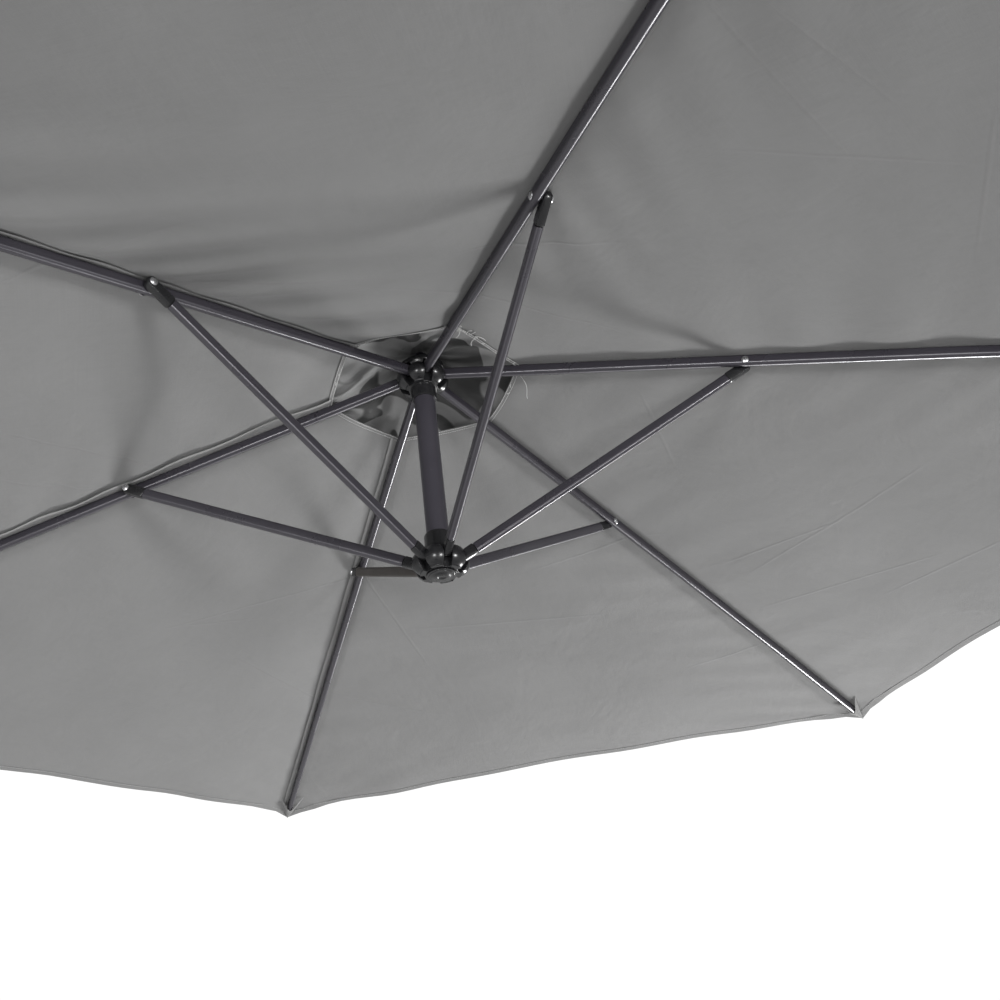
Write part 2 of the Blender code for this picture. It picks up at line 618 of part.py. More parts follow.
for i, (qx, qy) in enumerate(((1, 1), (-1, 1), (-1, -1), (1, -1))):
    bm = bmesh.new()

    def q(p):
        return Vector((p[0] * qx, p[1] * qy, p[2]))

    lo_, hi_ = (0.0030, 0.0030, 0.0156), (0.500, 0.500, 0.0850)
    # upper block with tapered sides
    pts = [(lo_[0], lo_[1]), (hi_[0], lo_[1]), (hi_[0], hi_[1] - 0.05), (hi_[0] - 0.05, hi_[1]), (lo_[0], hi_[1])]
    r0 = [q((x, y, lo_[2])) for x, y in pts]
    r1 = [q((x - (0.008 if x > 0.1 else 0), y - (0.008 if y > 0.1 else 0), hi_[2])) for x, y in pts]
    if qx * qy < 0:
        r0.reverse()
        r1.reverse()
    loft(bm, [r0, r1])
    tank = finish_obj("tank_%d" % (i + 1), bm, M_MATTE, smooth=False)
    cb = bmesh.new()
    pts = [(0.0340, 0.0340), (0.4990, 0.0340), (0.4990, 0.4485), (0.4485, 0.4990), (0.0340, 0.4990)]
    r0 = [q((x, y, 0.0)) for x, y in pts]
    r1 = [q((x, y, 0.0400)) for x, y in pts]
    if qx * qy < 0:
        r0.reverse()
        r1.reverse()
    loft(cb, [r0, r1])
    boolean(tank, cb, "UNION")
    cb = bmesh.new()
    revolve(cb, [(0, -0.01), (0.0960, -0.01), (0.0960, 0.1), (0, 0.1)], 48)
    boolean(tank, cb)
    bevel(tank, 0.0040, 2, 60)
    bm = bmesh.new()
    revolve(bm, [(0, 0.0853), (0.0300, 0.0853), (0.0310, 0.0865), (0.0310, 0.0950), (0.0290, 0.0970),
                 (0, 0.0975)], 24, (0.300 * qx, 0.300 * qy, 0))
    finish_obj("tank_cap_%d" % (i + 1), bm, M_BLACK)

# ------------------------------------------------------------------ canopy
CLOTH = 0.0007


def cover_surface(r, extra=0.0004):
    """Height of the cloth's underside over a rib at radius r."""
    return rib_z(r) + RIB_H / 2 * 1.0235 + extra


def panel_body(name, radii, zfun, dip):
    """Six flat gores between ribs, a closed sheet CLOTH thick."""
    bm = bmesh.new()
    lower, upper = [], []
    for r in radii:
        lo_r, up_r = [], []
        for k in range(6):
            e0, _ = frame(AZ[k])
            e1, _ = frame(AZ[k] + 60.0)
            for s in range(2):
                u = s / 2.0
                p = e0 * (r * (1 - u)) + e1 * (r * u)
                z = zfun(r) - dip(r) * math.sin(math.pi * u) ** 2
                lo_r.append(bm.verts.new(C + p + ZV * z))
                up_r.append(bm.verts.new(C + p + ZV * (z + CLOTH)))
        lower.append(lo_r)
        upper.append(up_r)
    n = len(lower[0])
    for i in range(len(radii) - 1):
        for j in range(n):
            jj = (j + 1) % n
            bm.faces.new((lower[i][jj], lower[i][j], lower[i + 1][j], lower[i + 1][jj]))
            bm.faces.new((upper[i][j], upper[i][jj], upper[i + 1][jj], upper[i + 1][j]))
    for j in range(n):
        jj = (j + 1) % n
        bm.faces.new((lower[0][j], lower[0][jj], upper[0][jj], upper[0][j]))
        bm.faces.new((lower[-1][jj], lower[-1][j], upper[-1][j], upper[-1][jj]))
    return finish_obj(name, bm, M_CLOTH, 20)


panel_body("canopy", [0.1630, 0.30, RA, 0.80, 1.05, 1.28, 1.5530], cover_surface, lambda r: 0.0)
VZ0, VZ1 = 0.0495, -0.0170
panel_body("vent_cap", [0.0115, 0.0550, 0.1100, 0.1650, 0.2150],
           lambda r: VZ0 + (VZ1 - VZ0) * (r - 0.0115) / (0.2150 - 0.0115), lambda r: 0.0)

# ------------------------------------------------------------------ origins and parents
def empty(name, loc, parent=None):
    em = bpy.data.objects.new(name, None)
    em.empty_display_size = 0.05
    bpy.context.scene.collection.objects.link(em)
    em.location = Vector(loc) - (SPOT[parent.name] if parent else Vector((0, 0, 0)))
    em.parent = parent
    SPOT[name] = Vector(loc)
    return em


def place(parent, names, origin=None):
    """Put each object's origin on its joint axis and hang it on its body."""
    for nm in names:
        ob = bpy.data.objects[nm]
        o = Vector(origin) if origin is not None else SPOT[parent.name]
        ob.data.transform(Matrix.Translation(-o))
        ob.parent = parent
        ob.location = o - SPOT[parent.name]


SPOT = {}
base = empty("base_frame", (0, 0, 0))
mast_e = empty("mast_axis", (0, 0, 0.130), base)
head_e = empty("head_tilt_axis", C + ZV * EYE_Z, mast_e)
run_e = empty("runner_axis", C + ZV * ZL, head_e)
crank_e = empty("crank_axis", (CX, 0, CZ), mast_e)
knob_e = empty("knob_axis", (CX, -0.100, CZ - 0.110), crank_e)
clamp_e = empty("clamp_axis", (-0.040, 0, 0.150), base)
place(base, ["base_cross", "mast_socket"])
for i, (qx, qy) in enumerate(((1, 1), (-1, 1), (-1, -1), (1, -1))):
    place(base, ["tank_%d" % (i + 1)], (0.25 * qx, 0.25 * qy, 0))
    place(base, ["tank_cap_%d" % (i + 1)], (0.30 * qx, 0.30 * qy, 0.0853))
place(clamp_e, ["clamp_knob"])
place(mast_e, ["mast", "mast_coupling", "boom"])
place(mast_e, ["boom_fork", "hang_pin"], C + ZV * EYE_Z)
place(mast_e, ["crank_housing", "housing_cover"], (CX, 0, CZ))
place(crank_e, ["spool", "crank_handle"])
place(knob_e, ["crank_knob"])
place(head_e, ["hub_stem"])
place(head_e, ["upper_hub", "vent_disc", "canopy", "vent_cap"], C)
place(run_e, ["lower_hub", "centre_post", "hub_cap"])
for k, az in enumerate(AZ):
    e, t = frame(az)
    rib_e = empty("rib_axis_%d" % (k + 1), C + e * RU + ZV * ZRU, head_e)
    strut_e = empty("strut_axis_%d" % (k + 1), C + e * RA + ZV * ZP + t * OFF, rib_e)
    place(rib_e, ["rib_%d" % (k + 1)])
    place(rib_e, ["rivet_%d" % (k + 1)], C + e * RA + ZV * ZP)
    place(strut_e, ["strut_%d" % (k + 1), "strut_top_%d" % (k + 1), "strut_foot_%d" % (k + 1)])
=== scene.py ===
import json
import math

import bmesh
import bpy
import numpy as np
from mathutils import Matrix, Vector, noise

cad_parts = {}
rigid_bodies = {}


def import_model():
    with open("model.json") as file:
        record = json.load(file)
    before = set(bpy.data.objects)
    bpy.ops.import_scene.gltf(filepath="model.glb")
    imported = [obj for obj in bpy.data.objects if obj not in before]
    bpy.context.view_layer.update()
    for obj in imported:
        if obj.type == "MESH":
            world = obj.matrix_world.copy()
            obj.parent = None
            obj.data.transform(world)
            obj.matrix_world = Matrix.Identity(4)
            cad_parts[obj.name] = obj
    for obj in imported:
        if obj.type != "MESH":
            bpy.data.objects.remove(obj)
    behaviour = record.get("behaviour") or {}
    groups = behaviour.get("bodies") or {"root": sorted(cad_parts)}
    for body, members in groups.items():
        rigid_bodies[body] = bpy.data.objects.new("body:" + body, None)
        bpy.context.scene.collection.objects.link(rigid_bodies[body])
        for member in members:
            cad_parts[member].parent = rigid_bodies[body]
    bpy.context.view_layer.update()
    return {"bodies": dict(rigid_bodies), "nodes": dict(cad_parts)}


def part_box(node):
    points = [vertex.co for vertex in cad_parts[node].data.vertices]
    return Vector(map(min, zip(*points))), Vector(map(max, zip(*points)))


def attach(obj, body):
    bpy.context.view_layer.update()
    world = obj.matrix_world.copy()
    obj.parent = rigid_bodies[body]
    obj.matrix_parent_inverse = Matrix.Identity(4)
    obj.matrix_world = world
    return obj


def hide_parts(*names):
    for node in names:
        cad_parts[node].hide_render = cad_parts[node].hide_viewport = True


for _o in list(bpy.data.objects):
    bpy.data.objects.remove(_o, do_unlink=True)

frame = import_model()
NODES = frame["nodes"]
BODIES = frame["bodies"]
COL = bpy.context.scene.collection

# ---------------------------------------------------------------- sizes
ulo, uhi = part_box("upper_hub")
HX = (ulo.x + uhi.x) / 2
HZ = 2.360
RU, ZRU = 0.038, -0.00023
RA, ZA = 0.5276, -0.1047
ZP = ZA - 0.0022
RT = 1.510
RIB_W, RIB_H = 0.0130, 0.0190
OFF = 0.0140
RL, ZL = 0.036, -0.352
AZ = [30.0 + 60.0 * k for k in range(6)]
C = Vector((HX, 0.0, HZ))
ZV = Vector((0, 0, 1))
R_VENT = 0.1630
R_HEM = 1.5555
VZ0, VZ1 = 0.0495, -0.0170
VR0, VR1 = 0.0115, 0.2150


def rib_z(r):
    s = r - 0.0369
    d = max(0.0, r - RA)
    return -(0.2134 * s + 0.01174 * d * d)


def cover_z(r):
    return rib_z(r) + RIB_H / 2 * 1.0235 + 0.0005


def axes(az):
    a = math.radians(az)
    return Vector((math.cos(a), math.sin(a), 0)), Vector((-math.sin(a), math.cos(a), 0))


# ---------------------------------------------------------------- node helpers
class NT:
    def __init__(self, tree):
        self.t = tree
        self.x = 0

    def n(self, kind, **kw):
        node = self.t.nodes.new(kind)
        for k, v in kw.items():
            setattr(node, k, v)
        self.x += 30
        node.location = (self.x, 0)
        return node

    def put(self, sock, v):
        if isinstance(v, bpy.types.NodeSocket):
            self.t.links.new(v, sock)
        elif v is not None:
            sock.default_value = v

    def math(self, op, a, b=None, c=None, clamp=False):
        m = self.n("ShaderNodeMath", operation=op, use_clamp=clamp)
        self.put(m.inputs[0], a)
        if b is not None:
            self.put(m.inputs[1], b)
        if c is not None:
            self.put(m.inputs[2], c)
        return m.outputs[0]

    def vmath(self, op, a, b=None, scale=None):
        m = self.n("ShaderNodeVectorMath", operation=op)
        self.put(m.inputs[0], a)
        if b is not None:
            self.put(m.inputs[1], b)
        if scale is not None:
            self.put(m.inputs[3], scale)
        return m.outputs[1] if op in ("DOT_PRODUCT", "LENGTH", "DISTANCE") else m.outputs[0]

    def noise(self, vec, scale, detail=3.0, rough=0.5, dist=0.0):
        m = self.n("ShaderNodeTexNoise")
        self.put(m.inputs["Vector"], vec)
        m.inputs["Scale"].default_value = scale
        m.inputs["Detail"].default_value = detail
        m.inputs["Roughness"].default_value = rough
        m.inputs["Distortion"].default_value = dist
        return m.outputs["Fac"]

    def ramp(self, fac, lo, hi, a=0.0, b=1.0, smooth=False):
        m = self.n("ShaderNodeMapRange")
        if smooth:
            m.interpolation_type = "SMOOTHSTEP"
        self.put(m.inputs["Value"], fac)
        m.inputs["From Min"].default_value = lo
        m.inputs["From Max"].default_value = hi
        self.put(m.inputs["To Min"], a)
        self.put(m.inputs["To Max"], b)
        return m.outputs["Result"]

    def mix(self, fac, a, b, blend="MIX"):
        m = self.n("ShaderNodeMix", data_type="RGBA", blend_type=blend)
        self.put(m.inputs[0], fac)
        for s, v in ((m.inputs[6], a), (m.inputs[7], b)):
            if isinstance(v, (tuple, list)) and len(v) == 3:
                v = (v[0], v[1], v[2], 1.0)
            self.put(s, v)
        return m.outputs[2]

    def bump(self, height, strength=0.3, distance=0.001, normal=None):
        m = self.n("ShaderNodeBump")
        m.inputs["Strength"].default_value = strength
        m.inputs["Distance"].default_value = distance
        self.put(m.inputs["Height"], height)
        if normal is not None:
            self.put(m.inputs["Normal"], normal)
        return m.outputs["Normal"]


def new_mat(name):
    m = bpy.data.materials.new(name)
    m.use_nodes = True
    t = NT(m.node_tree)
    return m, t, m.node_tree.nodes["Principled BSDF"]


def coords(t):
    return t.n("ShaderNodeTexCoord").outputs["Object"]


def paint(name, rgb, rough=0.36, metal=0.35, wear=0.5, flake=0.5, edge=0.0008, slope=None):
    """Powder coat: fine orange peel, faint flakes, scuffs and lighter worn edges.

    slope is the rise of a spoke of the head per metre out: its drawn tube keeps long
    highlights along its length.
    """
    m, t, b = new_mat(name)
    co = coords(t)
    if slope is not None:
        away = t.vmath("MULTIPLY", t.vmath("SUBTRACT", co, (HX, 0.0, 0.0)), (1.0, 1.0, 0.0))
        along = t.vmath("ADD", t.vmath("NORMALIZE", away), (0.0, 0.0, slope))
        tr = t.n("ShaderNodeVectorTransform", vector_type="VECTOR", convert_from="OBJECT", convert_to="WORLD")
        t.put(tr.inputs[0], along)
        t.put(b.inputs["Tangent"], tr.outputs[0])
        b.inputs["Anisotropic"].default_value = 0.88
        b.inputs["Specular IOR Level"].default_value = 0.9
    peel = t.noise(co, 900.0, 2.0)
    flakes = t.n("ShaderNodeTexVoronoi")
    flakes.inputs["Scale"].default_value = 2600.0
    t.put(flakes.inputs["Vector"], co)
    fl = t.ramp(flakes.outputs["Distance"], 0.0, 0.35, 1.0, 0.0)
    dust = t.noise(co, 9.0, 5.0, 0.6)
    scuff = t.noise(t.vmath("MULTIPLY", co, (40.0, 40.0, 260.0)), 1.0, 4.0, 0.65)
    scuff = t.ramp(scuff, 0.66, 0.74)
    c = t.mix(t.math("MULTIPLY", fl, 0.35 * flake), rgb, [min(1, x * 2.2 + 0.01) for x in rgb])
    c = t.mix(t.ramp(dust, 0.4, 0.8, 0.0, 0.22), c, [x * 1.6 + 0.006 for x in rgb])
    c = t.mix(t.math("MULTIPLY", scuff, 0.35 * wear), c, [x * 2.6 + 0.02 for x in rgb])
    t.put(b.inputs["Base Color"], c)
    b.inputs["Metallic"].default_value = metal
    t.put(b.inputs["Roughness"], t.ramp(dust, 0.25, 0.75, rough - 0.05, rough + 0.10))
    bev = t.n("ShaderNodeBevel", samples=4)
    bev.inputs["Radius"].default_value = edge
    t.put(b.inputs["Normal"], t.bump(peel, 0.10, 0.0002, bev.outputs["Normal"]))
    return m


def plastic(name, rgb, rough=0.24, grain=0.25, scale=1500.0, edge=0.0009, spec=0.5):
    """Moulded plastic: fine grain, dust in patches, small handling marks."""
    m, t, b = new_mat(name)
    co = coords(t)
    g = t.noise(co, scale, 2.0)
    patch = t.noise(co, 22.0, 4.0, 0.6)
    marks = t.noise(t.vmath("MULTIPLY", co, (300.0, 90.0, 300.0)), 1.0, 3.0, 0.7)
    marks = t.ramp(marks, 0.68, 0.76)
    c = t.mix(t.ramp(patch, 0.45, 0.85, 0.0, 0.25), rgb, [x * 1.5 + 0.01 for x in rgb])
    c = t.mix(t.math("MULTIPLY", marks, 0.25), c, [x * 2.0 + 0.03 for x in rgb])
    t.put(b.inputs["Base Color"], c)
    t.put(b.inputs["Roughness"], t.math("ADD", t.ramp(patch, 0.2, 0.8, rough - 0.04, rough + 0.10),
                                        t.math("MULTIPLY", marks, 0.12)))
    b.inputs["Specular IOR Level"].default_value = spec
    bev = t.n("ShaderNodeBevel", samples=4)
    bev.inputs["Radius"].default_value = edge
    t.put(b.inputs["Normal"], t.bump(g, grain, 0.0002, bev.outputs["Normal"]))
    return m


def steel(name, rgb=(0.78, 0.78, 0.80), rough=0.22):
    m, t, b = new_mat(name)
    co = coords(t)
    s = t.noise(t.vmath("MULTIPLY", co, (900.0, 900.0, 60.0)), 1.0, 3.0)
    p = t.noise(co, 160.0, 4.0)
    t.put(b.inputs["Base Color"], t.mix(t.ramp(p, 0.45, 0.75, 0.0, 0.5), rgb, [x * 0.72 for x in rgb]))
    b.inputs["Metallic"].default_value = 1.0
    t.put(b.inputs["Roughness"], t.ramp(s, 0.3, 0.7, rough - 0.06, rough + 0.12))
    t.put(b.inputs["Normal"], t.bump(s, 0.08, 0.0001))
    return m


def cloth(name, rgb, translucent=0.10, uv=True, wear=1.0, creases=True, painted_shade=False):
    """Plain-woven polyester. UVs are metres along warp and weft."""
    m, t, b = new_mat(name)
    co = coords(t)
    uvn = t.n("ShaderNodeUVMap")
    uvn.uv_map = "UVMap"
    uvv = uvn.outputs["UV"]
    # weave: two thread directions, offset over and under
    sep = t.n("ShaderNodeSeparateXYZ")
    t.put(sep.inputs[0], uvv)
    pitch = 2 * math.pi / 0.0011
    sx = t.math("SINE", t.math("MULTIPLY", sep.outputs[0], pitch))
    sy = t.math("SINE", t.math("MULTIPLY", sep.outputs[1], pitch))
    over = t.math("SINE", t.math("MULTIPLY", t.math("ADD", sep.outputs[0], sep.outputs[1]), pitch / 2))
    weave = t.mix(t.ramp(over, -0.2, 0.2), t.math("ABSOLUTE", sx), t.math("ABSOLUTE", sy))
    # slubs: long irregular threads in both directions
    sl1 = t.noise(t.vmath("MULTIPLY", uvv, (6.0, 900.0, 1.0)), 1.0, 2.0)
    sl2 = t.noise(t.vmath("MULTIPLY", uvv, (900.0, 6.0, 1.0)), 1.0, 2.0)
    slub = t.math("ADD", t.ramp(sl1, 0.35, 0.75, 0.0, 0.5), t.ramp(sl2, 0.35, 0.75, 0.0, 0.5))
    cloud = t.noise(co, 3.2, 5.0, 0.55)
    fine = t.noise(co, 55.0, 4.0, 0.6)
    c = t.mix(t.ramp(cloud, 0.35, 0.7), [x * 0.95 for x in rgb], [x * 1.05 for x in rgb])
    c = t.mix(t.math("MULTIPLY", t.ramp(slub, 0.2, 0.8), 0.16), c, [min(1, x * 1.35) for x in rgb])
    c = t.mix(t.math("MULTIPLY", t.ramp(fine, 0.5, 0.75), 0.10 * wear), c, [x * 0.72 for x in rgb])
    if painted_shade:
        # painted shade: dark patches standing in for the shadows of the folds, and a darker ring painted by the hub
        big = t.noise(t.vmath("MULTIPLY", co, (10.0, 10.0, 10.0)), 1.0, 1.5, 0.45, 1.2)
        lit = t.ramp(big, 0.500, 0.545, 1.0, 0.05, True)
        away = t.vmath("LENGTH", t.vmath("MULTIPLY", t.vmath("SUBTRACT", co, (HX, 0.0, 0.0)), (1.0, 1.0, 0.0)))
        ring = t.ramp(away, 0.030, 0.085, 0.45, 1.0, True)
        k_ = t.math("MULTIPLY", lit, ring)
        c = t.mix(k_, [x * 0.22 for x in rgb], c)
    bumps = t.bump(weave, 0.35, 0.00035)
    bumps = t.bump(slub, 0.22, 0.0004, bumps)
    soft = t.noise(t.vmath("MULTIPLY", co, (5.0, 5.0, 5.0)), 1.0, 5.0, 0.55, 0.4)
    bumps = t.bump(soft, 0.27, 0.020, bumps)
    if creases:
        # faint straight packing creases
        sp = t.n("ShaderNodeSeparateXYZ")
        t.put(sp.inputs[0], co)
        px = t.math("SUBTRACT", sp.outputs[0], HX)
        py = sp.outputs[1]
        total = None
        rnd = np.random.RandomState(11)
        for i in range(30):
            ang = rnd.uniform(0, math.pi)
            d0 = rnd.uniform(0.25, 1.2) * (1 if i % 2 else -1)
            ca, sa = math.cos(ang), math.sin(ang)
            dist = t.math("SUBTRACT", t.math("ADD", t.math("MULTIPLY", px, ca), t.math("MULTIPLY", py, sa)), d0)
            along = t.math("ADD", t.math("MULTIPLY", px, -sa), t.math("MULTIPLY", py, ca))
            mid = rnd.uniform(-0.6, 0.6)
            ln = rnd.uniform(0.10, 0.30)
            wob = t.math("MULTIPLY", t.math("SUBTRACT", fine, 0.5), 0.002)
            g = t.math("ABSOLUTE", t.math("ADD", dist, wob))
            g = t.ramp(g, 0.0, 0.0045, 1.0, 0.0, True)
            w = t.ramp(t.math("ABSOLUTE", t.math("SUBTRACT", along, mid)), ln * 0.4, ln, 1.0, 0.0, True)
            v = t.math("MULTIPLY", g, w)
            total = v if total is None else t.math("ADD", total, v)
        bumps = t.bump(total, 0.24, 0.0022, bumps)
    b.inputs["Roughness"].default_value = 0.92
    b.inputs["Specular IOR Level"].default_value = 0.12
    b.inputs["Sheen Weight"].default_value = 0.12
    b.inputs["Sheen Roughness"].default_value = 0.5
    t.put(b.inputs["Base Color"], c)
    t.put(b.inputs["Normal"], bumps)
    tr = t.n("ShaderNodeBsdfTranslucent")
    t.put(tr.inputs["Color"], c)
    t.put(tr.inputs["Normal"], bumps)
    mx = t.n("ShaderNodeMixShader")
    mx.inputs[0].default_value = translucent
    t.put(mx.inputs[1], b.outputs[0])
    t.put(mx.inputs[2], tr.outputs[0])
    out = m.node_tree.nodes["Material Output"]
    t.put(out.inputs["Surface"], mx.outputs[0])
    return m


M_RIB = paint("rib_coat", (0.040, 0.037, 0.046), 0.25, 0.30, slope=-0.2134)
M_STRUT = paint("strut_coat", (0.040, 0.037, 0.046), 0.27, 0.30, slope=0.498)
M_BROWN = paint("strut_coat_brown", (0.038, 0.030, 0.025), 0.36, 0.22, slope=0.498)
M_TUBE = paint("tube_coat", (0.044, 0.041, 0.051), 0.36, 0.30)
M_HUB = plastic("hub_plastic", (0.010, 0.010, 0.011), 0.21, 0.03, 1400.0)
M_FIT = plastic("fitting_plastic", (0.010, 0.010, 0.011), 0.24, 0.08, 1400.0)
M_GRAIN = plastic("grained_plastic", (0.022, 0.022, 0.024), 0.50, 0.45, 700.0)
M_TANK = plastic("tank_plastic", (0.026, 0.026, 0.028), 0.55, 0.5, 420.0, 0.003)
M_STEEL = steel("rivet_metal")
M_BASE = paint("base_coat", (0.030, 0.030, 0.034), 0.48, 0.3, 1.0)
GREY = (0.178, 0.178, 0.177)
M_CLOTH = cloth("canopy_cloth", GREY, 0.05)
M_VENT = cloth("vent_cloth", GREY, 0.10, creases=False)
# the vent sheet's cloth is a lighter copy of the canopy cloth, painted light where the low lamps don't reach the
# vent cap, with painted shade patches standing in for the folds' shadows
M_VENT_PAINTED_LIGHT_AND_SHADE = cloth("vent_cloth_painted_light_and_shade", (0.262, 0.262, 0.261), 0.16, creases=False, painted_shade=True)
M_HEM = cloth("hem_cloth", (0.186, 0.186, 0.185), 0.06, creases=False)
# the seam strips are a lighter copy of the canopy cloth: a painted highlight for the strips catching the light
M_SEAM_PAINTED_HIGHLIGHT = cloth("seam_cloth_painted_highlight", (0.262, 0.262, 0.259), 0.06, creases=False)
M_POCKET = cloth("pocket_cloth", (0.214, 0.214, 0.212), 0.06, creases=False)
_m, _t, _b = new_mat("sewing_thread")
_co = coords(_t)
_tw = _t.noise(_co, 1600.0, 2.0)
_t.put(_b.inputs["Base Color"], _t.mix(_tw, (0.46, 0.46, 0.455), (0.68, 0.68, 0.67)))
_b.inputs["Roughness"].default_value = 0.75
_t.put(_b.inputs["Normal"], _t.bump(_tw, 0.5, 0.0003))
M_THREAD = _m

# ---------------------------------------------------------------- CAD nodes: smooth shading
gs = bpy.data.node_groups.new("smooth_by_angle_weld", "GeometryNodeTree")
gs.interface.new_socket("Geometry", in_out="INPUT", socket_type="NodeSocketGeometry")
gs.interface.new_socket("Geometry", in_out="OUTPUT", socket_type="NodeSocketGeometry")
_i = gs.nodes.new("NodeGroupInput")
_o = gs.nodes.new("NodeGroupOutput")
_w = gs.nodes.new("GeometryNodeMergeByDistance")
_w.inputs["Distance"].default_value = 1e-6
_s1 = gs.nodes.new("GeometryNodeSetShadeSmooth")
_s1.domain = "FACE"
_s2 = gs.nodes.new("GeometryNodeSetShadeSmooth")
_s2.domain = "EDGE"
_ea = gs.nodes.new("GeometryNodeInputMeshEdgeAngle")
_cmp = gs.nodes.new("FunctionNodeCompare")
_cmp.data_type = "FLOAT"
_cmp.operation = "GREATER_THAN"
_cmp.inputs[1].default_value = math.radians(38)
gs.links.new(_i.outputs[0], _w.inputs[0])
gs.links.new(_w.outputs[0], _s1.inputs["Geometry"])
_s1.inputs["Shade Smooth"].default_value = True
gs.links.new(_s1.outputs[0], _s2.inputs["Geometry"])
gs.links.new(_ea.outputs["Unsigned Angle"], _cmp.inputs[0])
gs.links.new(_cmp.outputs[0], _s2.inputs["Selection"])
_s2.inputs["Shade Smooth"].default_value = False
gs.links.new(_s2.outputs[0], _o.inputs[0])


def dress(node, material):
    o = NODES[node]
    me = o.data
    for a in ("custom_normal", "sharp_face", "sharp_edge"):
        if a in me.attributes:
            try:
                me.attributes.remove(me.attributes[a])
            except RuntimeError:
                pass
    me.shade_smooth()
    if not o.material_slots:
        me.materials.append(material)
    for s in o.material_slots:
        s.material = material
    md = o.modifiers.new("shade", "NODES")
    md.node_group = gs


for _k in range(1, 7):
    dress("rib_%d" % _k, M_RIB)
    dress("strut_%d" % _k, M_STRUT)
    dress("strut_top_%d" % _k, M_FIT)
    dress("strut_foot_%d" % _k, M_FIT)
    dress("rivet_%d" % _k, M_STEEL)
for _s in NODES["strut_1"].material_slots:
    _s.material = M_BROWN
for _n, _mm in (("upper_hub", M_HUB), ("lower_hub", M_HUB), ("hub_cap", M_HUB), ("centre_post", M_TUBE),
                ("hub_stem", M_TUBE), ("vent_disc", M_HUB), ("boom_fork", M_GRAIN), ("mast_coupling", M_GRAIN),
                ("crank_housing", M_GRAIN), ("housing_cover", M_GRAIN), ("spool", M_GRAIN),
                ("crank_knob", M_GRAIN), ("crank_handle", M_TUBE), ("mast", M_TUBE), ("boom", M_TUBE),
                ("hang_pin", M_STEEL), ("clamp_knob", M_FIT), ("base_cross", M_BASE), ("mast_socket", M_BASE)):
    dress(_n, _mm)
for _k in range(1, 5):
    dress("tank_%d" % _k, M_TANK)
    dress("tank_cap_%d" % _k, M_FIT)

# ---------------------------------------------------------------- skinning to the rib bodies
SKIN = ["head"] + ["rib_arm_%d" % k for k in range(1, 7)]
gk = bpy.data.node_groups.new("follow_ribs", "GeometryNodeTree")
gk.interface.new_socket("Geometry", in_out="INPUT", socket_type="NodeSocketGeometry")
gk.interface.new_socket("Geometry", in_out="OUTPUT", socket_type="NodeSocketGeometry")
_i = gk.nodes.new("NodeGroupInput")
_o = gk.nodes.new("NodeGroupOutput")
_pos = gk.nodes.new("GeometryNodeInputPosition")
_sum = None
for _n, _bn in enumerate(SKIN):
    oi = gk.nodes.new("GeometryNodeObjectInfo")
    oi.transform_space = "RELATIVE"
    oi.inputs["Object"].default_value = BODIES[_bn]
    tp = gk.nodes.new("FunctionNodeTransformPoint")
    gk.links.new(_pos.outputs[0], tp.inputs["Vector"])
    gk.links.new(oi.outputs["Transform"], tp.inputs["Transform"])
    na = gk.nodes.new("GeometryNodeInputNamedAttribute")
    na.data_type = "FLOAT"
    na.inputs["Name"].default_value = "w%d" % _n
    sc = gk.nodes.new("ShaderNodeVectorMath")
    sc.operation = "SCALE"
    gk.links.new(tp.outputs[0], sc.inputs[0])
    gk.links.new(na.outputs["Attribute"], sc.inputs[3])
    if _sum is None:
        _sum = sc.outputs[0]
    else:
        ad = gk.nodes.new("ShaderNodeVectorMath")
        ad.operation = "ADD"
        gk.links.new(_sum, ad.inputs[0])
        gk.links.new(sc.outputs[0], ad.inputs[1])
        _sum = ad.outputs[0]
_sp = gk.nodes.new("GeometryNodeSetPosition")
gk.links.new(_i.outputs[0], _sp.inputs["Geometry"])
gk.links.new(_sum, _sp.inputs["Position"])
gk.links.new(_sp.outputs[0], _o.inputs[0])


def make(name, verts, faces, material, uvs=None, weights=None, smooth=True, body="head"):
    """A mesh piece; weights is a list of 7-tuples (head, rib 1..6), one per vertex."""
    me = bpy.data.meshes.new(name)
    me.from_pydata([tuple(v) for v in verts], [], faces)
    me.update()
    if smooth:
        me.shade_smooth()
    me.materials.append(material)
    if uvs is not None:
        lay = me.uv_layers.new(name="UVMap")
        idx = np.zeros(len(me.loops), np.int32)
        me.loops.foreach_get("vertex_index", idx)
        lay.data.foreach_set("uv", np.array(uvs, np.float32)[idx].ravel())
    ob = bpy.data.objects.new(name, me)
    COL.objects.link(ob)
    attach(ob, body)
    if weights is not None:
        w = np.array(weights, np.float32)
        w = w / w.sum(1, keepdims=True)
        for n in range(7):
            a = me.attributes.new("w%d" % n, "FLOAT", "POINT")
            a.data.foreach_set("value", np.ascontiguousarray(w[:, n]))
        md = ob.modifiers.new("follow", "NODES")
        md.node_group = gk
    return ob


def wt(k=None, u=0.0, head=0.0):
    """Weights of a point between rib k and rib k + 1 (0-based), share u."""
    w = [0.0] * 7
    w[0] = head
    if k is not None:
        w[1 + k % 6] += (1 - head) * (1 - u)
        w[1 + (k + 1) % 6] += (1 - head) * u
    return w


# ---------------------------------------------------------------- canopy
def nz(x, y, z=0.0):
    return noise.noise(Vector((x, y, z)))


